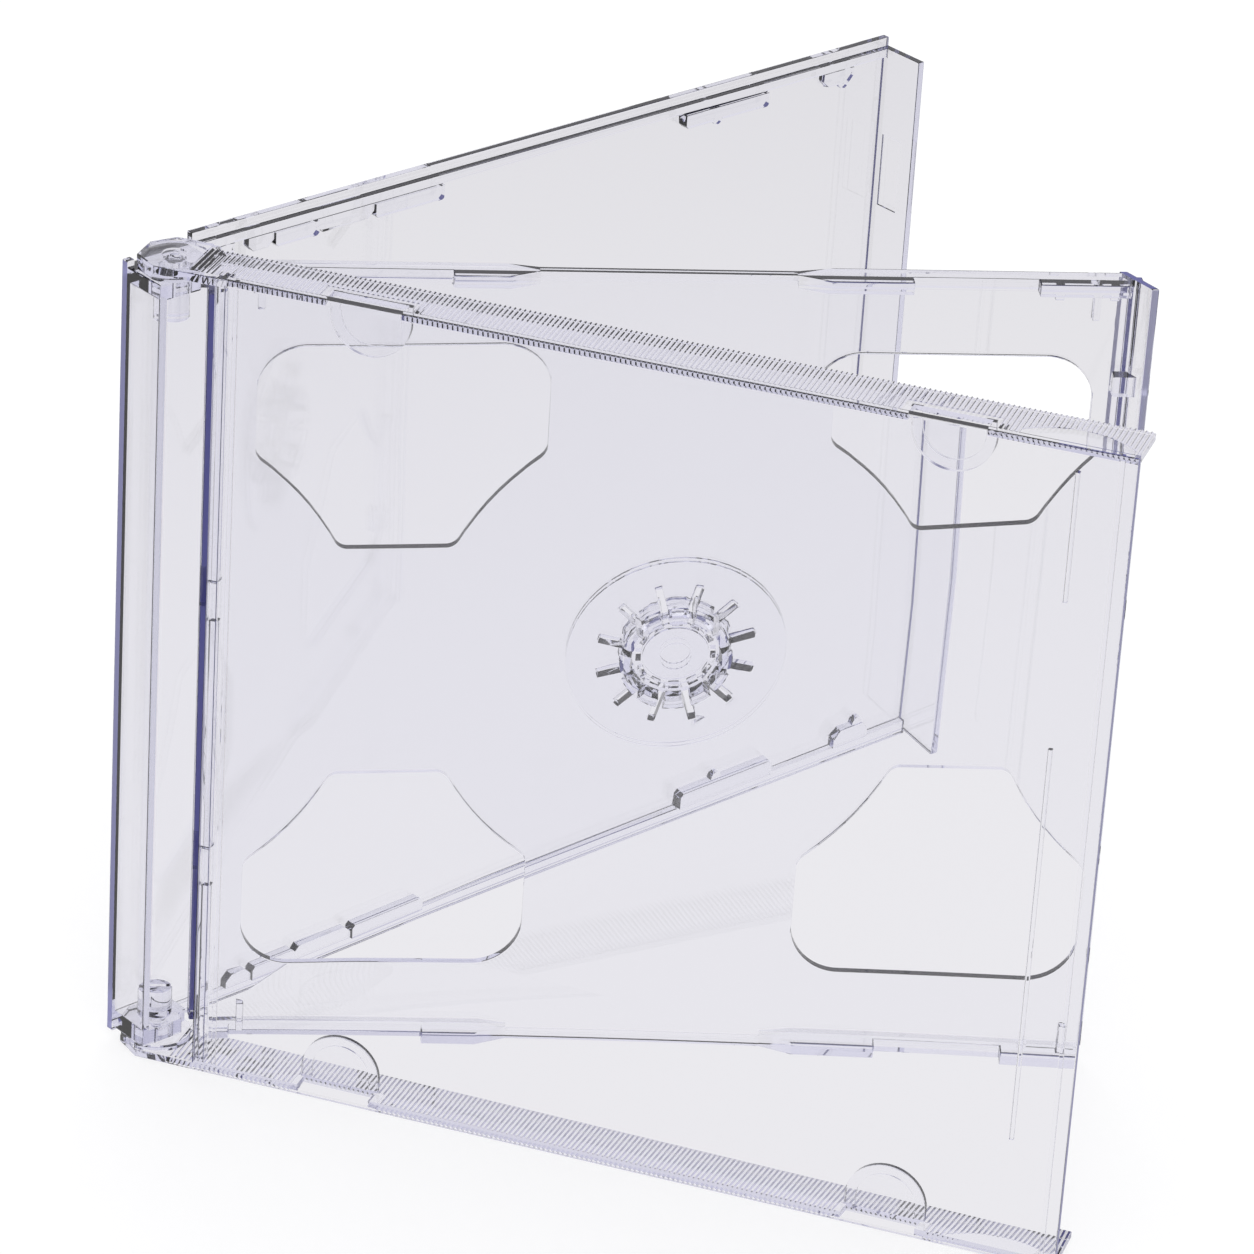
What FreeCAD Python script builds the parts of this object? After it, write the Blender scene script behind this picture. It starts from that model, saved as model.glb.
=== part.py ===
import FreeCAD, Part
import os

from FreeCAD import Vector

# Clear case for two discs, standing open on its lower edges like a book.
# Three polystyrene mouldings turn about one upright hinge line: the base, the
# swing tray between the discs, and the lid. Each moulding is drawn closed, in
# case coordinates: u runs along the width from the spine, v through the depth
# from the back to the front, z up. Then it is swung to its standing angle.

# Overall size of the closed case
case_width = 142.0
case_height = 125.0
case_depth = 10.4
wall = 1.2
joint_gap = 0.15

# Hinge line, and how far each leaf stands open
hinge_u = 5.0
hinge_v = 5.2
pin_diameter = 3.2
pin_clearance = 0.05
pin_length = 1.2
lid_open_angle = 60.0
tray_open_angle = 36.0

# Base: back plate, spine and end wall
base_notch_u = 11.0
spine_depth = 8.6
spine_corner_chamfer = 1.2
cheek_thickness = 2.4
cheek_reach_u = 9.4
cheek_reach_v = 8.6
end_wall_depth = 9.0
end_wall_pocket_below_top = (15.0, 26.5)
end_wall_pocket_v = (2.6, 6.6)
end_wall_pocket_depth = 0.3
rail_width = 1.3
rail_height = 1.0
base_lug_width = 2.2
base_lug_height = 1.7
base_lug_step = 0.5
base_lug_spans = ((15.2, 17.6, 1), (20.0, 24.4, 1), (24.4, 32.1, 0), (32.1, 42.2, 1), (42.2, 54.7, 0))
base_lug_from_free_end = ((41.7, 25.4, 0), (14.0, 8.0, 1))
base_nub_from_free_end = (35.0, 9.8)
base_nub_width = 0.9

# Lid: panel, flanges, ears, tabs and scallops
panel_start_u = 13.0
flange_rear_v = 1.35
ear_thickness = 2.2
ear_radius = 5.2
ear_reach = 5.4
ear_left = 4.6
ear_dimple_radius = 1.8
ear_dimple_depth = 0.3
ear_pip_radius = 0.7
rib_pitch = 0.72
rib_height = 0.2
rib_start_u = 8.6
rib_front_margin = 1.0
tab_from_panel_start = 21.3
tab_from_free_end = 26.0
tab_width = 11.7
tab_reach = 7.6
tab_thickness = 0.9
tab_gap = 2.5
tab_border = 1.5
tab_pocket_depth = 0.35
tab_window_width = 10.9
tab_flat_margin = 0.8
scallop_end_margin = 1.0
scallop_length = 15.4
scallop_rise = 3.0
scallop_front = 2.6
lip_depth = 2.2
lip_notch_height = 6.0
lip_notch_from_middle = (12.8, -29.5)
bead_width = 0.6
bead_height = 0.4
left_bead_offset = 2.5
right_bead_offset = 2.6
stop_rib_offset = 8.4
stop_rib_width = 0.6
stop_rib_height = 0.6
stop_rib_below_top = (4.0, 23.0)
stop_rib_lower_ends = (19.0, 45.0)

# Swing tray: plate, rims, hubs and finger openings
tray_mid_v = 4.9
tray_plate = 1.2
tray_end_gap = 0.4
tray_side_gap = 0.4
tray_strip_end = 7.4
tray_strip_left = 2.2
tray_pin_gap = 0.2
tray_bead_width = 1.2
tray_bead_depth = 1.6
tray_lug_width = 1.9
tray_lug_rear = 3.1
tray_lug_front = 7.6
tray_lug_strip_front = 6.8
tray_lug_taper = 4.4
tray_lug_tip = 50.0
tray_lug_waist = (10.6, 38.0)
end_lug_length = 46.2
end_lug_waist = (30.3, 12.8)
rim_nub_from_end = (9.8, 2.1)
rim_nub_width = 1.2
rim_nub_size = 0.9
tray_wall_rear = 2.5
tray_wall_front = 8.4
tray_wall_slant = 3.6
strip_rib_offset = 4.6
strip_rib_depth = 2.0
tray_short_rib_start = 11.6
tray_short_rib_from_end = 5.0
tray_short_rib_length = 4.6
tray_short_rib_width = 1.0
tray_short_rib_height = 1.2
wall_nub_from_middle = (45.5, 10.5, -29.5, -46.5)
wall_nub_length = 3.0
wall_nub_size = 2.0
hub_shift = 0.4
hub_pad_radius = 14.8
hub_pad_height = 0.35
hub_crown_radius = 7.35
hub_bead_radius = 7.6
hub_inner_radius = 5.7
hub_rise = 2.6
hub_slots = 12
hub_slot_width = 1.0
hub_slot_inner = 6.0
hub_slot_outer = 10.8
hub_window_width = 1.4
hub_window_inner = 4.65
hub_window_outer = 5.35
hub_boss_radius = 4.5
hub_boss_rise = 0.8
hub_dimple_radius = 2.1
hub_dimple_depth = 0.35

# Finger opening: broad and round on its far side, narrow by the hub. The places
# along it are measured from the hub centre, the half widths from its middle.
opening_side_margin = 4.1
opening_far_margin = 11.9
opening_near = 17.9
opening_near_half = 6.9
opening_near_corner = (8.4, 18.9)
opening_flank_bulge = 0.85
opening_side_half = 19.7
opening_side_length = 9.7
opening_side_corner = (1.3, 1.8)
opening_far_half = 12.4
opening_far_corner = 6.3

# Values that follow from the sizes above
panel_inner_v = case_depth - wall
mid_height = case_height / 2.0
bore_radius = pin_diameter / 2.0 + pin_clearance
flange_inner_z = case_height - wall
rail_outer_z = flange_inner_z - joint_gap
cheek_top_z = case_height - ear_thickness - joint_gap
cheek_bottom_z = cheek_top_z - cheek_thickness
tray_top_z = flange_inner_z - tray_side_gap
strip_top_z = cheek_bottom_z - tray_pin_gap
tray_end_u = case_width - wall - tray_end_gap
plate_rear_v = tray_mid_v - tray_plate / 2.0
plate_front_v = tray_mid_v + tray_plate / 2.0
tray_inner_end = tray_end_u - tray_wall_slant - hinge_u
hub_centre = (tray_strip_end + tray_inner_end) / 2.0 + hub_shift
opening_centre = (tray_inner_end - tray_strip_end) / 2.0 - opening_side_margin - opening_side_half
opening_far = tray_top_z - mid_height - opening_far_margin
opening_side_high = opening_far - opening_far_corner
opening_side_low = opening_side_high - opening_side_length
tab_centres = (panel_start_u + tab_from_panel_start, case_width - tab_from_free_end)
notch_heights = [mid_height + offset for offset in lip_notch_from_middle]
hinge_axis = Vector(0.0, 0.0, 1.0)
hinge_point = Vector(hinge_u, -hinge_v, 0.0)


def block(u0, u1, v0, v1, z0, z1):
    """Box between two corners given in case coordinates."""
    return Part.makeBox(u1 - u0, v1 - v0, z1 - z0, Vector(u0, -v1, z0))


def prism_uv(points, z0, z1):
    """Upright prism on a closed outline of (u, v) points."""
    corners = [Vector(u, -v, z0) for u, v in points]
    face = Part.Face(Part.makePolygon(corners + corners[:1]))
    return face.extrude(Vector(0.0, 0.0, z1 - z0))


def prism_vz(points, u0, u1):
    """Prism along the width on a closed outline of (v, z) points."""
    corners = [Vector(u0, -v, z) for v, z in points]
    face = Part.Face(Part.makePolygon(corners + corners[:1]))
    return face.extrude(Vector(u1 - u0, 0.0, 0.0))


def prism_uz(points, v0, v1):
    """Prism through the depth on a closed outline of (u, z) points."""
    corners = [Vector(u, -v0, z) for u, z in points]
    face = Part.Face(Part.makePolygon(corners + corners[:1]))
    return face.extrude(Vector(0.0, -(v1 - v0), 0.0))


def upright_cylinder(u, v, radius, z0, z1):
    return Part.makeCylinder(radius, z1 - z0, Vector(u, -v, z0))


def both_ends(shapes):
    """The shapes at the top end and their mirror images at the bottom end."""
    centre = Vector(0.0, 0.0, mid_height)
    return shapes + [shape.mirror(centre, Vector(0.0, 0.0, 1.0)) for shape in shapes]


def merge(first, others):
    """One moulding made from a main body and the forms fused to it."""
    return first.multiFuse(others).removeSplitter()


def swing(shape, angle):
    """Turn a leaf about the hinge line, towards the front."""
    turned = shape.copy()
    turned.rotate(hinge_point, hinge_axis, -angle)
    return turned


def make_base():
    plate = block(0.0, case_width, 0.0, wall, 0.0, case_height)
    notch = block(-1.0, base_notch_u, -1.0, wall + 1.0, cheek_top_z, case_height + 1.0)
    corner = block(0.0, wall, 0.0, wall, cheek_top_z - wall, rail_outer_z - joint_gap)

    spine_outline = (
        (0.0, case_height - cheek_top_z),
        (spine_depth - spine_corner_chamfer, case_height - cheek_top_z),
        (spine_depth, case_height - cheek_top_z + spine_corner_chamfer),
        (spine_depth, cheek_top_z - spine_corner_chamfer),
        (spine_depth - spine_corner_chamfer, cheek_top_z),
        (0.0, cheek_top_z),
    )
    spine = prism_vz(spine_outline, 0.0, wall)
    cheek = block(0.0, cheek_reach_u, 0.0, cheek_reach_v, cheek_bottom_z, cheek_top_z)
    hollow_corner = upright_cylinder(
        cheek_reach_u, cheek_reach_v, wall * 2.0, cheek_bottom_z - 1.0, cheek_top_z + 1.0
    )
    cheek = cheek.cut(hollow_corner)
    bore = upright_cylinder(hinge_u, hinge_v, bore_radius, cheek_bottom_z - 1.0, cheek_top_z + 1.0)

    end_wall = block(
        case_width - wall, case_width, 0.0, end_wall_depth, case_height - rail_outer_z, rail_outer_z
    )
    pocket = block(
        case_width - wall - 1.0,
        case_width - wall + end_wall_pocket_depth,
        end_wall_pocket_v[0],
        end_wall_pocket_v[1],
        case_height - end_wall_pocket_below_top[1],
        case_height - end_wall_pocket_below_top[0],
    )

    rail = block(
        base_notch_u, case_width - wall, wall, wall + rail_height, rail_outer_z - rail_width, rail_outer_z
    )
    lugs = [base_lug(start, end, lowered) for start, end, lowered in base_lug_spans]
    for far, near, lowered in base_lug_from_free_end:
        lugs.append(base_lug(case_width - far, case_width - near, lowered))
    nubs = [base_nub(case_width - distance) for distance in base_nub_from_free_end]

    base = plate.cut(Part.makeCompound(both_ends([notch])))
    base = merge(base, [spine, end_wall] + both_ends([corner, cheek, rail] + lugs + nubs))
    return base.cut(Part.makeCompound(both_ends([bore]) + [pocket])).removeSplitter()


def base_lug(start, end, lowered):
    """Raised stretch beside the rail, with its inner corners cut back."""
    top = wall + base_lug_height - lowered * base_lug_step
    outer_z = rail_outer_z - rail_width
    inner_z = outer_z - base_lug_width
    slope = base_lug_step + lowered * base_lug_step
    outline = ((start, outer_z), (end, outer_z), (end, inner_z + slope), (end - slope, inner_z),
               (start + slope, inner_z), (start, inner_z + slope))
    return prism_uz(outline, wall, top)


def base_nub(u):
    """Small round-ended stop on the back plate inside the rail."""
    centre_z = rail_outer_z - rail_width - base_lug_width
    nub = upright_cylinder(0.0, 0.0, base_nub_width, 0.0, 1.0)
    nub.rotate(Vector(0.0, 0.0, 0.0), Vector(1.0, 0.0, 0.0), 90.0)
    nub.translate(Vector(u, -wall, centre_z))
    return nub


def make_lid():
    panel = block(panel_start_u, case_width, panel_inner_v, case_depth, 0.0, case_height)
    wall_top = case_height - rib_height
    flange_start = hinge_u + ear_reach
    flange = block(flange_start, case_width, flange_rear_v, case_depth, flange_inner_z, wall_top)
    edge = block(
        rib_start_u, case_width, case_depth - rib_front_margin, case_depth, wall_top, case_height
    )
    ear = make_ear(wall_top)
    boss = upright_cylinder(
        hinge_u, hinge_v, ear_radius - joint_gap, case_height - ear_thickness, flange_inner_z + rib_height
    ).common(prism_uv(ear_outline(), 0.0, case_height))
    pin_end = case_height - ear_thickness - pin_length
    pin = upright_cylinder(hinge_u, hinge_v, pin_diameter / 2.0, pin_end, flange_inner_z)

    dimple_floor = case_height - ear_dimple_depth
    dimple = upright_cylinder(hinge_u, hinge_v, ear_dimple_radius, dimple_floor, case_height + 1.0)
    pip = upright_cylinder(hinge_u, hinge_v, ear_pip_radius, dimple_floor, case_height)

    tabs = [make_tab(centre) for centre in tab_centres]
    windows = [make_tab_window(centre) for centre in tab_centres]
    top_forms = [flange, edge, ear, boss, pin] + tabs
    lip = block(
        panel_start_u, panel_start_u + wall, panel_inner_v - lip_depth, panel_inner_v, wall, flange_inner_z
    )
    lip_notches = [
        block(panel_start_u - 1.0, panel_start_u + wall + 1.0, panel_inner_v - lip_depth - 1.0,
              panel_inner_v - lip_depth / 2.0, height - lip_notch_height / 2.0,
              height + lip_notch_height / 2.0)
        for height in notch_heights
    ]
    beads = [
        panel_bead(panel_start_u + left_bead_offset, bead_width, bead_height, wall, flange_inner_z),
        panel_bead(case_width - right_bead_offset, bead_width, bead_height, wall, flange_inner_z),
    ]
    upper_span = (case_height - stop_rib_below_top[1], case_height - stop_rib_below_top[0])
    lower_span = (stop_rib_lower_ends[0], case_height - stop_rib_lower_ends[1])
    for low, high in (upper_span, lower_span):
        beads.append(
            panel_bead(case_width - stop_rib_offset, stop_rib_width, stop_rib_height, low, high)
        )

    lip = lip.cut(Part.makeCompound(lip_notches))
    lid = merge(panel, both_ends(top_forms) + [lip] + beads)
    lid = lid.cut(Part.makeCompound(both_ends(windows + [dimple.cut(pip)])))
    ribs = make_flange_ribs(wall_top)
    return merge(lid, both_ends([ribs]))


def panel_bead(u, width, height, z0, z1):
    """Low bead along the height of the panel's inner face."""
    return block(u, u + width, panel_inner_v - height, panel_inner_v, z0, z1)


def ear_outline():
    """Outline of an ear about the hinge: blunt end, cut corners, long side to the flange."""
    return (
        (hinge_u + ear_reach, case_depth),
        (hinge_u - 0.9, case_depth),
        (hinge_u - ear_left, hinge_v + 2.3),
        (hinge_u - ear_left, hinge_v - 2.2),
        (hinge_u - 1.9, 0.0),
        (hinge_u + ear_reach - 1.2, 0.0),
        (hinge_u + ear_reach, flange_rear_v),
    )


def make_ear(wall_top):
    smooth = prism_uv(ear_outline(), flange_inner_z, wall_top)
    crown = prism_uv(ear_outline(), wall_top, case_height)
    crown = crown.common(block(-1.0, rib_start_u, -1.0, case_depth + 1.0, wall_top - 1.0, case_height + 1.0))
    return smooth.fuse(crown)


def make_flange_ribs(wall_top):
    """Fine cross ribs over the outer face of a flange, left out at tabs and scallop."""
    count = int((case_width - rib_start_u) / rib_pitch)
    outline = [(rib_start_u, wall_top - rib_height / 2.0)]
    for index in range(count):
        left = rib_start_u + index * rib_pitch
        outline.append((left, wall_top))
        outline.append((left + rib_pitch / 2.0, case_height))
    last = rib_start_u + count * rib_pitch
    outline.append((last, wall_top))
    outline.append((last, wall_top - rib_height / 2.0))
    ribs = prism_uz(outline, flange_rear_v, case_depth - rib_front_margin)

    clear = [scallop_prism(wall_top)]
    for centre in tab_centres:
        half = tab_width / 2.0 + tab_flat_margin
        clear.append(
            block(centre - half, centre + half, panel_inner_v - tab_gap - tab_thickness, case_depth,
                  wall_top - rib_height, case_height + 1.0)
        )
    return ribs.cut(Part.makeCompound(clear))


def scallop_prism(wall_top):
    """Smooth thumb hold: a segment of a circle that widens to the front edge."""
    end = case_width - scallop_end_margin
    start = end - scallop_length
    chord_v = case_depth - scallop_front
    left = Vector(start, -chord_v, wall_top - rib_height)
    right = Vector(end, -chord_v, wall_top - rib_height)
    crest = Vector((start + end) / 2.0, -(chord_v - scallop_rise), wall_top - rib_height)
    front_right = Vector(end, -case_depth, wall_top - rib_height)
    front_left = Vector(start, -case_depth, wall_top - rib_height)
    edges = [
        Part.Arc(left, crest, right).toShape(),
        Part.LineSegment(right, front_right).toShape(),
        Part.LineSegment(front_right, front_left).toShape(),
        Part.LineSegment(front_left, left).toShape(),
    ]
    return Part.Face(Part.Wire(edges)).extrude(Vector(0.0, 0.0, 2.0 * rib_height + 1.0))


def half_moon(centre, width, reach, v0, v1):
    """Half-moon plate that hangs from the flange, flat side up."""
    radius = width / 2.0
    shoulder = flange_inner_z - reach + radius
    left = Vector(centre - radius, -v0, shoulder)
    right = Vector(centre + radius, -v0, shoulder)
    tip = Vector(centre, -v0, flange_inner_z - reach)
    top_right = Vector(centre + radius, -v0, flange_inner_z)
    top_left = Vector(centre - radius, -v0, flange_inner_z)
    edges = [
        Part.Arc(left, tip, right).toShape(),
        Part.LineSegment(right, top_right).toShape(),
        Part.LineSegment(top_right, top_left).toShape(),
        Part.LineSegment(top_left, left).toShape(),
    ]
    return Part.Face(Part.Wire(edges)).extrude(Vector(0.0, -(v1 - v0), 0.0))


def make_tab(centre):
    """Tab that holds the booklet against the panel, with a thinned middle."""
    front = panel_inner_v - tab_gap
    rear = front - tab_thickness
    tab = half_moon(centre, tab_width, tab_reach, rear, front)
    pocket = half_moon(
        centre, tab_width - 2.0 * tab_border, tab_reach - tab_border, rear - 1.0, rear + tab_pocket_depth
    )
    return tab.cut(pocket)


def make_tab_window(centre):
    """Window through the flange in front of a tab."""
    half = tab_window_width / 2.0
    return block(
        centre - half, centre + half, panel_inner_v - tab_gap, panel_inner_v,
        flange_inner_z - 1.0, case_height + 1.0
    )


def make_tray():
    plate = block(
        hinge_u + tray_strip_end, tray_end_u - tray_wall_slant / 2.0, plate_rear_v, plate_front_v,
        case_height - tray_top_z, tray_top_z
    )
    strip = block(
        hinge_u - tray_strip_left, hinge_u + tray_strip_end, plate_rear_v, plate_front_v,
        case_height - strip_top_z, strip_top_z
    )
    strip_rib = block(
        hinge_u + strip_rib_offset, hinge_u + strip_rib_offset + wall, plate_rear_v - strip_rib_depth / 2.0,
        plate_front_v + strip_rib_depth, case_height - strip_top_z, strip_top_z
    )
    rib_notches = [
        block(hinge_u + strip_rib_offset - 1.0, hinge_u + strip_rib_offset + wall + 1.0,
              plate_front_v + strip_rib_depth / 2.0, plate_front_v + strip_rib_depth + 1.0,
              height - lip_notch_height / 2.0, height + lip_notch_height / 2.0)
        for height in notch_heights
    ]
    barrel = upright_cylinder(
        hinge_u, hinge_v, pin_diameter / 2.0, strip_top_z - tray_strip_left * 2.0,
        strip_top_z + tray_pin_gap + pin_length
    )
    collar = upright_cylinder(
        hinge_u, hinge_v, tray_strip_left, strip_top_z - tray_strip_left * 2.0, strip_top_z
    )
    bead = block(
        hinge_u + tray_strip_end, tray_end_u - tray_wall_slant, tray_mid_v - tray_bead_depth / 2.0,
        tray_mid_v + tray_bead_depth / 2.0, tray_top_z - tray_bead_width, tray_top_z
    )
    rib_places = (tray_short_rib_start, tray_inner_end - tray_short_rib_from_end)
    short_ribs = [
        block(hinge_u + place, hinge_u + place + tray_short_rib_width,
              plate_front_v, plate_front_v + tray_short_rib_height,
              tray_top_z - tray_bead_width - tray_short_rib_length, tray_top_z - tray_bead_width)
        for place in rib_places
    ]
    rim_nubs = [rim_nub(tray_inner_end - distance) for distance in rim_nub_from_end]
    nubs = [wall_nub(mid_height + offset) for offset in wall_nub_from_middle]
    forms = [strip, strip_rib.cut(Part.makeCompound(rib_notches)), tray_end_wall()] + nubs
    forms += both_ends([barrel, collar, bead, strip_lug(), end_lug()] + short_ribs + rim_nubs)
    tray = merge(plate, forms + hub_forms())
    cuts = hub_slot_cuts(hub_slot_inner) + hub_windows() + hub_dimples() + finger_openings()
    return tray.cut(Part.makeCompound(cuts)).removeSplitter()


def rim_prism(points):
    """Deep stretch of the tray's rim on an outline measured from the hinge line."""
    outline = [(hinge_u + place, v) for place, v in points]
    return prism_uv(outline, tray_top_z - tray_lug_width, tray_top_z)


def strip_lug():
    """Rim stretch from the hinge strip to a tapered tip, thin where a lid tab lies."""
    bead_rear = tray_mid_v - tray_bead_depth / 2.0
    bead_front = tray_mid_v + tray_bead_depth / 2.0
    return rim_prism((
        (tray_strip_end, tray_lug_rear),
        (tray_lug_tip - tray_lug_taper, tray_lug_rear),
        (tray_lug_tip, bead_rear),
        (tray_lug_tip, bead_front),
        (tray_lug_tip - tray_lug_taper, tray_lug_front),
        (tray_lug_waist[1], tray_lug_front),
        (tray_lug_waist[1], bead_front),
        (tray_lug_waist[0], bead_front),
        (tray_lug_waist[0], tray_lug_strip_front),
        (tray_strip_end, tray_lug_strip_front),
    ))


def end_lug():
    """Rim stretch from a tapered tip to the end wall, thin where a lid tab lies."""
    bead_rear = tray_mid_v - tray_bead_depth / 2.0
    bead_front = tray_mid_v + tray_bead_depth / 2.0
    tip = tray_inner_end - end_lug_length
    return rim_prism((
        (tip, bead_front),
        (tip, bead_rear),
        (tip + tray_lug_taper, tray_lug_rear),
        (tray_inner_end, tray_lug_rear),
        (tray_inner_end, tray_lug_front),
        (tray_inner_end - end_lug_waist[1], tray_lug_front),
        (tray_inner_end - end_lug_waist[1], bead_front),
        (tray_inner_end - end_lug_waist[0], bead_front),
        (tray_inner_end - end_lug_waist[0], tray_lug_front),
        (tip + tray_lug_taper, tray_lug_front),
    ))


def rim_nub(place):
    """Small block on the plate, against the inner side of the rim."""
    z1 = tray_top_z - tray_lug_width
    u0 = hinge_u + place - rim_nub_width / 2.0
    return block(u0, u0 + rim_nub_width, plate_front_v, plate_front_v + rim_nub_size, z1 - rim_nub_size, z1)


def tray_end_wall():
    """Slanted wall that closes the free end of the tray."""
    outline = (
        (tray_end_u - tray_wall_slant - wall, tray_wall_rear),
        (tray_end_u - tray_wall_slant, tray_wall_rear),
        (tray_end_u, tray_wall_front),
        (tray_end_u - wall, tray_wall_front),
    )
    return prism_uv(outline, case_height - tray_top_z, tray_top_z)


def wall_nub(height):
    """Small stop in the corner between the plate and the end wall."""
    u1 = tray_end_u - tray_wall_slant / 2.0
    return block(
        u1 - wall - wall_nub_size, u1, plate_front_v, plate_front_v + wall_nub_size,
        height - wall_nub_length / 2.0, height + wall_nub_length / 2.0
    )


def disc_on_plate(radius, v0, v1):
    """Round pad about the hub centre, between two depths."""
    disc = Part.makeCylinder(radius, v1 - v0, Vector(0.0, 0.0, 0.0), Vector(0.0, -1.0, 0.0))
    disc.translate(Vector(hinge_u + hub_centre, -v0, mid_height))
    return disc


def crown_side(direction):
    """Crown of the hub on one face of the plate: a neck with a bead at its tip."""
    start = tray_mid_v + direction * tray_plate / 2.0 - direction * wall / 2.0
    tip = tray_mid_v + direction * (tray_plate / 2.0 + hub_rise)
    bead_low = tip - direction * hub_rise / 3.0
    bead_high = tip - direction * hub_rise / 6.0
    centre_u = hinge_u + hub_centre
    outline = (
        (hub_inner_radius, start),
        (hub_crown_radius, start),
        (hub_crown_radius, bead_low),
        (hub_bead_radius, bead_high),
        (hub_crown_radius - 0.3, tip),
        (hub_inner_radius + 0.5, tip),
    )
    corners = [Vector(centre_u + r, -v, mid_height) for r, v in outline]
    face = Part.Face(Part.makePolygon(corners + corners[:1]))
    return face.revolve(Vector(centre_u, 0.0, mid_height), Vector(0.0, 1.0, 0.0), 360.0)


def hub_forms():
    pad = disc_on_plate(hub_pad_radius, plate_rear_v - hub_pad_height, plate_front_v + hub_pad_height)
    boss = disc_on_plate(hub_boss_radius, plate_rear_v - hub_boss_rise, plate_front_v + hub_boss_rise)
    parting = Part.makeCompound(hub_slot_cuts(hub_boss_radius))
    return [pad, boss, crown_side(1.0).cut(parting), crown_side(-1.0).cut(parting)]


def hub_dimples():
    """Shallow round dimples in the middle of the hub, one on each face."""
    front = plate_front_v + hub_boss_rise
    rear = plate_rear_v - hub_boss_rise
    return [
        disc_on_plate(hub_dimple_radius, front - hub_dimple_depth, front + 1.0),
        disc_on_plate(hub_dimple_radius, rear - 1.0, rear + hub_dimple_depth),
    ]


def radial_cuts(inner, outer, width, turn):
    """Straight cutters round the hub centre, from the first turned by a part of the pitch."""
    cuts = []
    centre = Vector(hinge_u + hub_centre, 0.0, mid_height)
    for index in range(hub_slots):
        cutter = block(
            centre.x + inner, centre.x + outer, 0.0, case_depth,
            mid_height - width / 2.0, mid_height + width / 2.0
        )
        cutter.rotate(centre, Vector(0.0, 1.0, 0.0), (index + turn) * 360.0 / hub_slots)
        cuts.append(cutter)
    return cuts


def hub_slot_cuts(inner):
    """Slots that part the crown into springy fingers."""
    return radial_cuts(inner, hub_slot_outer, hub_slot_width, 0.5)


def hub_windows():
    """Windows through the web behind each finger."""
    return radial_cuts(hub_window_inner, hub_window_outer, hub_window_width, 0.0)


def between(first, last, bulge):
    """Point off the middle of a chord, to its left by the bulge."""
    middle = (first + last) * 0.5
    along = last - first
    across = Vector(-along.y, along.x, 0.0)
    return middle + across * (bulge / along.Length)


def half_opening(sign):
    """Edges of one half of a finger opening, in its own plane."""
    near = Vector(sign * opening_near_half, opening_near, 0.0)
    near_corner = Vector(sign * opening_near_corner[0], opening_near_corner[1], 0.0)
    side_corner = Vector(
        sign * (opening_side_half - opening_side_corner[0]), opening_side_low - opening_side_corner[1], 0.0
    )
    side_low = Vector(sign * opening_side_half, opening_side_low, 0.0)
    side_high = Vector(sign * opening_side_half, opening_side_high, 0.0)
    far = Vector(sign * opening_far_half, opening_far, 0.0)
    corner_bulge = 0.2
    far_bulge = (side_high - far).Length * corner_bulge
    return [
        Part.Arc(near, between(near, near_corner, -sign * corner_bulge), near_corner).toShape(),
        Part.Arc(near_corner, between(near_corner, side_corner, sign * opening_flank_bulge),
                 side_corner).toShape(),
        Part.Arc(side_corner, between(side_corner, side_low, -sign * corner_bulge), side_low).toShape(),
        Part.LineSegment(side_low, side_high).toShape(),
        Part.Arc(side_high, between(side_high, far, -sign * far_bulge), far).toShape(),
    ]


def finger_opening(side):
    """Cutter for one finger opening above the hub."""
    edges = half_opening(1.0) + half_opening(-1.0)
    for half, height in ((opening_near_half, opening_near), (opening_far_half, opening_far)):
        edges.append(Part.LineSegment(Vector(-half, height, 0.0), Vector(half, height, 0.0)).toShape())
    face = Part.Face(Part.Wire(Part.__sortEdges__(edges)))
    cutter = face.extrude(Vector(0.0, 0.0, tray_plate + 2.0))
    cutter.rotate(Vector(0.0, 0.0, 0.0), Vector(1.0, 0.0, 0.0), 90.0)
    cutter.translate(Vector(hinge_u + hub_centre + side * opening_centre, -plate_rear_v + 1.0, mid_height))
    return cutter


def finger_openings():
    return both_ends([finger_opening(1.0), finger_opening(-1.0)])


nodes = {
    "base": make_base(),
    "swing_tray": swing(make_tray(), tray_open_angle),
    "lid": swing(make_lid(), lid_open_angle),
}

# The origin is the middle of the footprint, on the surface the case stands on.
extent = Part.makeCompound(list(nodes.values())).BoundBox
origin = Vector(-extent.Center.x, -extent.Center.y, -extent.ZMin)

os.makedirs("parts", exist_ok=True)
for name, shape in nodes.items():
    shape.translate(origin)
    shape.exportStep("parts/" + name + ".step")
    print(name, "solids", len(shape.Solids), "valid", shape.isValid(), "volume", round(shape.Volume, 1))
print("hinge line at", round(hinge_point.x + origin.x, 4), round(hinge_point.y + origin.y, 4))
print("overall", round(extent.XLength, 2), round(extent.YLength, 2), round(extent.ZLength, 2))
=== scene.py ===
import math

import bmesh
import bpy
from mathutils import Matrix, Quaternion, Vector
from mathutils.geometry import intersect_point_line


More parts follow.
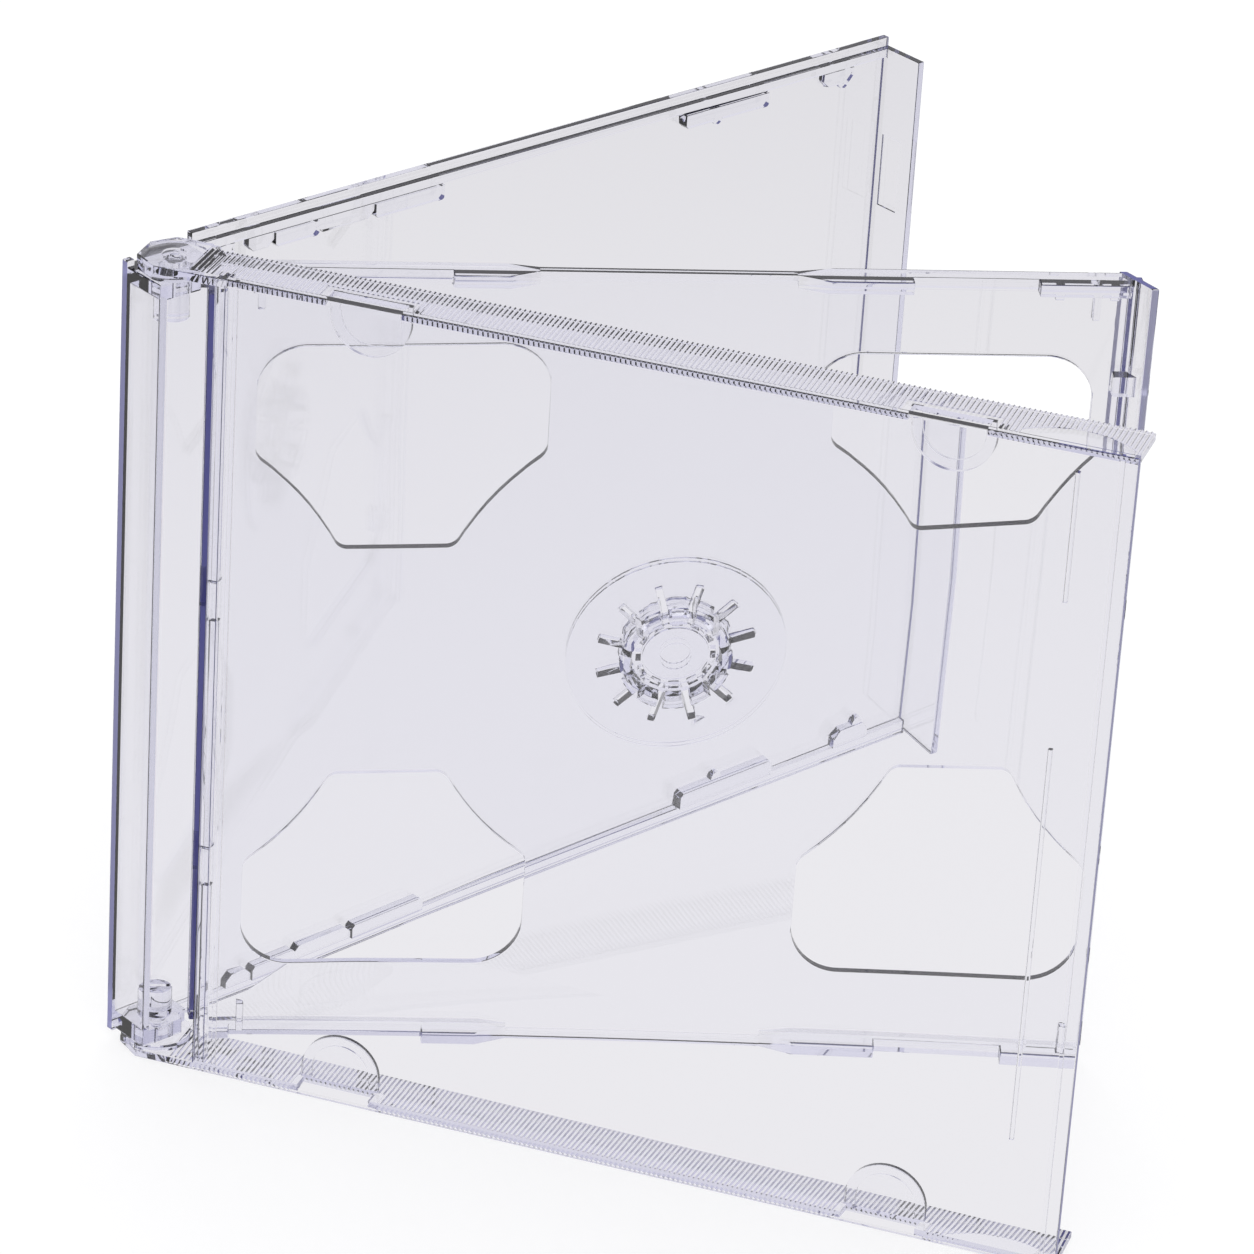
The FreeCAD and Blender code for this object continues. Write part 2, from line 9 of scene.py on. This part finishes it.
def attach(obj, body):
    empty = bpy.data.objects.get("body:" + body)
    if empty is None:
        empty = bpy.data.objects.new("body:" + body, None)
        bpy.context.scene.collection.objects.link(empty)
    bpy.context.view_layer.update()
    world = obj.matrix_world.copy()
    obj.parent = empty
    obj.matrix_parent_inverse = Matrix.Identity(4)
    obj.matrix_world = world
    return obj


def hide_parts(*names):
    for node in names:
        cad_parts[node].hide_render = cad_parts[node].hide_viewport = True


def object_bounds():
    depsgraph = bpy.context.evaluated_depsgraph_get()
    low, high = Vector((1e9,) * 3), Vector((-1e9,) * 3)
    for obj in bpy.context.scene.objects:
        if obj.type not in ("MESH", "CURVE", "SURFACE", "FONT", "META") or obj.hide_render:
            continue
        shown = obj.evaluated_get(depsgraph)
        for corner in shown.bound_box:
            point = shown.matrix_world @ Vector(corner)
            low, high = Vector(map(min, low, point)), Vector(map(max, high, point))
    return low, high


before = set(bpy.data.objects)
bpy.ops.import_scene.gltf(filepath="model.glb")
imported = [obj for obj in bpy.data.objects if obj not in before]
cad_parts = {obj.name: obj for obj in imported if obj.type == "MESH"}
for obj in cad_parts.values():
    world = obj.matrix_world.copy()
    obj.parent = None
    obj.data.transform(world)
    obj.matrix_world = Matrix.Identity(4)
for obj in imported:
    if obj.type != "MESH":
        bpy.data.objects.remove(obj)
case_low, case_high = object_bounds()

# The base is the back half of the case: a plate with the spine, two hinge cheeks, an end wall
# and lugged rails. It is injection moulded in one shot of clear polystyrene from a polished
# tool, which leaves every edge slightly eased. The plastic takes a faint blue-violet in its
# depth, and the ends of its walls get a painted blue-violet shade.
eased_edge = 0.00016
easing_steps = 2
flattest_sharp_edge = math.radians(24)
sharpest_edge = math.radians(150)
gap_parts = 3
face_share = 0.6
on_the_cut = 0.000001


def room_beside(edge):
    """How far a sharp edge can be rounded before it meets the next form."""
    room = edge.calc_length() / gap_parts
    first, last = (end.co for end in edge.verts)
    for face in edge.link_faces:
        room = min(room, face_share * face.calc_area() / face.calc_perimeter())
        for corner in face.verts:
            if corner in edge.verts:
                room = min(room, *(beside.calc_length() / gap_parts for beside in corner.link_edges))
            else:
                near, part = intersect_point_line(corner.co, first, last)
                near = first if part < 0 else last if part > 1 else near
                room = min(room, (corner.co - near).length / gap_parts)
    return room


def mark_eased(mesh, wall_cut):
    """Parts the skin at one wall's face, then marks for a bevel the sharp edges with room for it."""
    skin = bmesh.new()
    skin.from_mesh(mesh)
    everything = skin.verts[:] + skin.edges[:] + skin.faces[:]
    place, facing = wall_cut
    bmesh.ops.bisect_plane(
        skin, geom=everything, plane_co=place, plane_no=facing, dist=on_the_cut)
    layer = skin.edges.layers.float.new("bevel_weight_edge")
    for edge in skin.edges:
        if len(edge.link_faces) != 2:
            continue
        if flattest_sharp_edge < edge.calc_face_angle() < sharpest_edge:
            edge[layer] = float(room_beside(edge) > eased_edge)
    skin.to_mesh(mesh)
    skin.free()


def moulded(node, name, wall_cut):
    """A copy of a solid as one closed skin with the eased edges of a moulding; reeding stays crisp."""
    same_corner = 0.0000002
    same_plane = math.radians(0.1)
    smooth_up_to = math.radians(22)
    bpy.ops.object.select_all(action="DESELECT")
    piece = bpy.data.objects.new(name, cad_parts[node].data.copy())
    bpy.context.scene.collection.objects.link(piece)
    piece.data.materials.clear()
    piece.select_set(True)
    bpy.context.view_layer.objects.active = piece
    bpy.ops.mesh.customdata_custom_splitnormals_clear()
    bpy.ops.object.mode_set(mode="EDIT")
    bpy.ops.mesh.select_all(action="SELECT")
    bpy.ops.mesh.remove_doubles(threshold=same_corner)
    bpy.ops.mesh.dissolve_limited(angle_limit=same_plane)
    bpy.ops.object.mode_set(mode="OBJECT")
    mark_eased(piece.data, wall_cut)
    ease = piece.modifiers.new("eased_edges", "BEVEL")
    ease.width = eased_edge
    ease.segments = easing_steps
    ease.limit_method = "WEIGHT"
    ease.use_clamp_overlap = False
    bpy.ops.object.modifier_apply(modifier=ease.name)
    bpy.ops.object.shade_smooth_by_angle(angle=smooth_up_to)
    return piece


def face_width(face):
    """Short side of the rectangle with the same area and the same length round it."""
    half_round = sum(edge.calc_length() for edge in face.edges) / 2
    return (half_round - math.sqrt(max(0.0, half_round ** 2 - 4 * face.calc_area()))) / 2


def paint_shade_on_ends(piece, end_shade_material, facing, from_x=-math.inf, to_x=math.inf):
    """Gives the upright ends of thin walls a painted shade: the deeper blue-violet of light that comes
    along them, put on as a material.
    """
    shortest_end = 0.03
    thinnest_end, thickest_end = 0.0007, 0.00145
    squarely = 0.7
    piece.data.materials.append(end_shade_material)
    skin = bmesh.new()
    skin.from_mesh(piece.data)
    for face in skin.faces:
        heights = [corner.co.z for corner in face.verts]
        tall = max(heights) - min(heights) > shortest_end
        faces_out = abs(face.normal.dot(facing)) > squarely
        within = from_x < face.calc_center_median().x < to_x
        if tall and faces_out and within and thinnest_end < face_width(face) < thickest_end:
            face.material_index = len(piece.data.materials) - 1
    skin.to_mesh(piece.data)
    skin.free()


def clear_polystyrene(name, tint):
    """Polished clear polystyrene: hardly any colour through a wall, blue-violet along it."""
    depth_colour = (0.25, 0.25, 0.7)
    depth_density = 30.0
    shade_under_it = (0.86, 0.86, 0.9)
    plastic = bpy.data.materials.new(name)
    plastic.use_nodes = True
    nodes, links = plastic.node_tree.nodes, plastic.node_tree.links
    nodes.clear()
    output = nodes.new("ShaderNodeOutputMaterial")
    body = nodes.new("ShaderNodeBsdfPrincipled")
    body.inputs["Base Color"].default_value = (*tint, 1.0)
    body.inputs["IOR"].default_value = 1.59
    body.inputs["Transmission Weight"].default_value = 1.0
    body.inputs["Roughness"].default_value = 0.0

    # The flow of the melt leaves a long, very shallow ripple in the skin.
    place = nodes.new("ShaderNodeTexCoord")
    flow = nodes.new("ShaderNodeTexNoise")
    flow.inputs["Scale"].default_value = 22.0
    flow.inputs["Detail"].default_value = 1.0
    ripple = nodes.new("ShaderNodeBump")
    ripple.inputs["Strength"].default_value = 0.25
    ripple.inputs["Distance"].default_value = 0.0003
    links.new(place.outputs["Object"], flow.inputs["Vector"])
    links.new(flow.outputs["Fac"], ripple.inputs["Height"])
    links.new(ripple.outputs["Normal"], body.inputs["Normal"])

    # Lamp light passes the plastic and leaves a pale shade on the table.
    lamp_light = nodes.new("ShaderNodeLightPath")
    passing = nodes.new("ShaderNodeBsdfTransparent")
    passing.inputs["Color"].default_value = (*shade_under_it, 1.0)
    either = nodes.new("ShaderNodeMixShader")
    links.new(lamp_light.outputs["Is Shadow Ray"], either.inputs["Fac"])
    links.new(body.outputs["BSDF"], either.inputs[1])
    links.new(passing.outputs["BSDF"], either.inputs[2])
    links.new(either.outputs["Shader"], output.inputs["Surface"])

    depth = nodes.new("ShaderNodeVolumeAbsorption")
    depth.inputs["Color"].default_value = (*depth_colour, 1.0)
    depth.inputs["Density"].default_value = depth_density
    links.new(depth.outputs["Volume"], output.inputs["Volume"])
    return plastic


def painted_end_shade(plastic, name, tint, clearness):
    """The same plastic where a wall ends: duller, and darkened with a painted blue-violet shade that
    stands in for the light carried along the wall.
    """
    end = plastic.copy()
    end.name = name
    body = end.node_tree.nodes["Principled BSDF"]
    # Painted shade: the darker tint and the lower clearness give the end its blue-violet.
    body.inputs["Base Color"].default_value = (*tint, 1.0)
    body.inputs["Transmission Weight"].default_value = clearness
    body.inputs["Roughness"].default_value = 0.35
    return end


plate_thickness = 0.0012
across_plate = Vector((0.0, 1.0, 0.0))
along_plate = Vector((1.0, 0.0, 0.0))
plate_face = (Vector((0.0, case_high.y - plate_thickness, 0.0)), across_plate)
base = moulded("base", "base_moulding", plate_face)
base_plastic = clear_polystyrene("clear_base", (0.985, 0.985, 0.99))
base.data.materials.append(base_plastic)
# The upright ends of the plate's walls get a painted blue-violet shade.
plate_painted_shade = painted_end_shade(base_plastic, "base_wall_end", (0.26, 0.26, 0.52), 0.4)
paint_shade_on_ends(base, plate_painted_shade, along_plate)
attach(base, "base")
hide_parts("base")

# The swing tray carries a disc on each face. It is a thin clear moulding with four finger
# openings, a rim with deeper lugs, a slanted end wall and a hub of springy fingers, and it
# turns on two barrels between the cheeks of the base.
hinge_line = Vector((case_low.x + 0.005, case_high.y - 0.0052, 0.0))
tray_turn = math.radians(36)
along_tray = Vector((math.cos(tray_turn), -math.sin(tray_turn), 0.0))
across_tray = Vector((math.sin(tray_turn), math.cos(tray_turn), 0.0))
end_wall_reach = 0.13416
end_wall_front = 0.0033
end_wall_lean = math.radians(31)


def paint_shade_on_wall_top(piece, material_place):
    """Gives the short top of the end wall one of the piece's materials."""
    level_within = 0.0001
    smallest_top, largest_top = 0.000005, 0.000015
    top = max(corner.co.z for corner in piece.data.vertices) - level_within
    for face in piece.data.polygons:
        level = min(piece.data.vertices[corner].co.z for corner in face.vertices) > top
        if level and smallest_top < face.area < largest_top:
            face.material_index = material_place


end_wall_face = (
    hinge_line + along_tray * end_wall_reach - across_tray * end_wall_front,
    along_tray * math.cos(end_wall_lean) + across_tray * math.sin(end_wall_lean))
tray = moulded("swing_tray", "swing_tray_moulding", end_wall_face)
tray_plastic = clear_polystyrene("clear_tray", (0.99, 0.99, 0.993))
tray.data.materials.append(tray_plastic)
# Upright wall ends on the hinge half of the tray get a dark painted blue-violet shade.
strip_painted_shade = painted_end_shade(tray_plastic, "tray_strip_end", (0.1, 0.1, 0.34), 0.3)
paint_shade_on_ends(tray, strip_painted_shade, across_tray, to_x=0.0)
# The top of the end wall takes the dark painted shade of the strip ends (material 1).
paint_shade_on_wall_top(tray, 1)
# Wall ends on the end-wall half of the tray get a lighter painted lilac shade.
end_wall_end = painted_end_shade(tray_plastic, "tray_wall_end", (0.62, 0.62, 0.82), 0.6)
paint_shade_on_ends(tray, end_wall_end, across_tray, from_x=0.0)
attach(tray, "swing_tray")
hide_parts("swing_tray")

# The lid is the front half: a panel with two reeded flanges, four tabs that hold a booklet,
# and two ears with the hinge pins. It is moulded like the base and snapped over it.
along_lid = Vector((0.5, -0.866, 0.0))
across_lid = Vector((0.866, 0.5, 0.0))
panel_inside = Vector((-0.069464, 0.0560227, 0.0))
panel_face = (panel_inside, across_lid)
lid = moulded("lid", "lid_moulding", panel_face)
lid_plastic = clear_polystyrene("clear_lid", (0.985, 0.985, 0.99))
lid.data.materials.append(lid_plastic)
# The upright ends of the lid's walls get a painted blue-violet shade.
panel_painted_shade = painted_end_shade(lid_plastic, "lid_wall_end", (0.2, 0.2, 0.45), 0.4)
paint_shade_on_ends(lid, panel_painted_shade, along_lid)
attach(lid, "lid")
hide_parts("lid")

# The case stands on a plain pale table in front of a plain backdrop. Seen directly both are
# white; seen through or in the plastic they glow the pale lilac grey of a studio, and the table
# there has a painted pool of lighter grey round its middle that fades out between 5 and 45 cm.
studio_grey = (0.775, 0.767, 0.785)
near_painted_light = (0.865, 0.857, 0.873)
near_grey_to = 0.05
studio_grey_from = 0.45
table_radius = 12.0
table_corners = 96
table_drop = 0.00005
bpy.ops.object.select_all(action="DESELECT")
bpy.ops.mesh.primitive_circle_add(
    vertices=table_corners, radius=table_radius, fill_type="NGON", location=(0, 0, -table_drop))
table = bpy.context.active_object
table.name = "table"
bpy.ops.object.transform_apply(location=True)
surface = bpy.data.materials.new("pale_table")
surface.use_nodes = True
nodes, links = surface.node_tree.nodes, surface.node_tree.links
nodes.clear()
output = nodes.new("ShaderNodeOutputMaterial")
path = nodes.new("ShaderNodeLightPath")
lit = nodes.new("ShaderNodeBsdfDiffuse")
lit.inputs["Color"].default_value = (0.95, 0.95, 0.955, 1.0)
white = nodes.new("ShaderNodeEmission")
white.inputs["Color"].default_value = (1.0, 1.0, 1.0, 1.0)
direct = nodes.new("ShaderNodeMixShader")
direct.inputs["Fac"].default_value = 0.35
links.new(white.outputs["Emission"], direct.inputs[1])
links.new(lit.outputs["BSDF"], direct.inputs[2])
place = nodes.new("ShaderNodeTexCoord")
away = nodes.new("ShaderNodeVectorMath")
away.operation = "LENGTH"
links.new(place.outputs["Object"], away.inputs[0])
reach = nodes.new("ShaderNodeMapRange")
reach.interpolation_type = "SMOOTHSTEP"
reach.inputs["From Min"].default_value = near_grey_to
reach.inputs["From Max"].default_value = studio_grey_from
links.new(away.outputs["Value"], reach.inputs["Value"])
# Painted light: the table seen in the plastic is lighter grey near its middle and fades to the studio
# grey further out.
tone = nodes.new("ShaderNodeMix")
tone.data_type = "RGBA"
tone.inputs["A"].default_value = (*near_painted_light, 1.0)
tone.inputs["B"].default_value = (*studio_grey, 1.0)
links.new(reach.outputs["Result"], tone.inputs["Factor"])
seen_through = nodes.new("ShaderNodeEmission")
links.new(tone.outputs["Result"], seen_through.inputs["Color"])
in_plastic = nodes.new("ShaderNodeMath")
in_plastic.operation = "MAXIMUM"
links.new(path.outputs["Is Transmission Ray"], in_plastic.inputs[0])
links.new(path.outputs["Is Glossy Ray"], in_plastic.inputs[1])
either = nodes.new("ShaderNodeMixShader")
links.new(in_plastic.outputs["Value"], either.inputs["Fac"])
links.new(direct.outputs["Shader"], either.inputs[1])
links.new(seen_through.outputs["Emission"], either.inputs[2])
links.new(either.outputs["Shader"], output.inputs["Surface"])
table.data.materials.append(surface)

# The studio round the table: bright overhead, a dark band of unlit wall below that, pale down
# to the table. Only the plastic shows it; looked at directly, the backdrop is plain white.
low_wall = (0.8, 0.79, 0.86)
unlit_wall = (0.1, 0.1, 0.26)
bright_ceiling = (1.1, 1.1, 1.12)
studio = bpy.data.worlds.new("studio")
bpy.context.scene.world = studio
studio.use_nodes = True
nodes, links = studio.node_tree.nodes, studio.node_tree.links
nodes.clear()
output = nodes.new("ShaderNodeOutputWorld")
path = nodes.new("ShaderNodeLightPath")
place = nodes.new("ShaderNodeTexCoord")
apart = nodes.new("ShaderNodeSeparateXYZ")
links.new(place.outputs["Generated"], apart.inputs["Vector"])
walls = nodes.new("ShaderNodeValToRGB")
steps = walls.color_ramp
steps.elements[0].position = 0.02
steps.elements[0].color = (*studio_grey, 1.0)
steps.elements[1].position = 1.0
steps.elements[1].color = (*bright_ceiling, 1.0)
for height, colour in ((0.5, low_wall), (0.58, unlit_wall), (0.74, unlit_wall), (0.8, bright_ceiling)):
    steps.elements.new(height).color = (*colour, 1.0)
links.new(apart.outputs["Z"], walls.inputs["Fac"])
in_plastic = nodes.new("ShaderNodeMath")
in_plastic.operation = "MAXIMUM"
links.new(path.outputs["Is Transmission Ray"], in_plastic.inputs[0])
links.new(path.outputs["Is Glossy Ray"], in_plastic.inputs[1])
seen = nodes.new("ShaderNodeBackground")
links.new(walls.outputs["Color"], seen.inputs["Color"])
plain = nodes.new("ShaderNodeBackground")
plain.inputs["Color"].default_value = (1.0, 1.0, 1.0, 1.0)
either = nodes.new("ShaderNodeMixShader")
links.new(in_plastic.outputs["Value"], either.inputs["Fac"])
links.new(plain.outputs["Background"], either.inputs[1])
links.new(seen.outputs["Background"], either.inputs[2])
links.new(either.outputs["Shader"], output.inputs["Surface"])

# Two large soft boxes, one over the left shoulder of the camera and one behind the case.
case_centre = (case_low + case_high) / 2


def soft_box(name, place, power):
    """A square lamp that lights the case and stays out of its reflections."""
    lamp = bpy.data.lights.new(name, "AREA")
    lamp.shape = "SQUARE"
    lamp.size = 0.9
    lamp.energy = power
    holder = bpy.data.objects.new(name, lamp)
    bpy.context.scene.collection.objects.link(holder)
    holder.location = place
    holder.rotation_euler = (case_centre - holder.location).to_track_quat("-Z", "Y").to_euler()
    holder.visible_glossy = False
    holder.visible_transmission = False


soft_box("front_soft_box", Vector((-1.0, -1.1, 1.5)), 9.0)
soft_box("rear_soft_box", Vector((0.9, 1.2, 1.3)), 6.0)

# The camera looks down on the open case from the front left, through a long lens.
camera_place = Vector((-0.53548, -0.54827, 0.46631))
camera_aim = Vector((0.00575, 0.04074, 0.05383))
camera_roll = math.radians(3.62)
view = bpy.data.cameras.new("camera")
view.sensor_width = 36.0
view.lens = 176.52
camera = bpy.data.objects.new("camera", view)
bpy.context.scene.collection.objects.link(camera)
camera.location = camera_place
level = (camera_aim - camera_place).to_track_quat("-Z", "Y")
camera.rotation_euler = (level @ Quaternion((0, 0, 1), camera_roll)).to_euler()
bpy.context.scene.camera = camera
bpy.context.scene.view_settings.view_transform = "Standard"
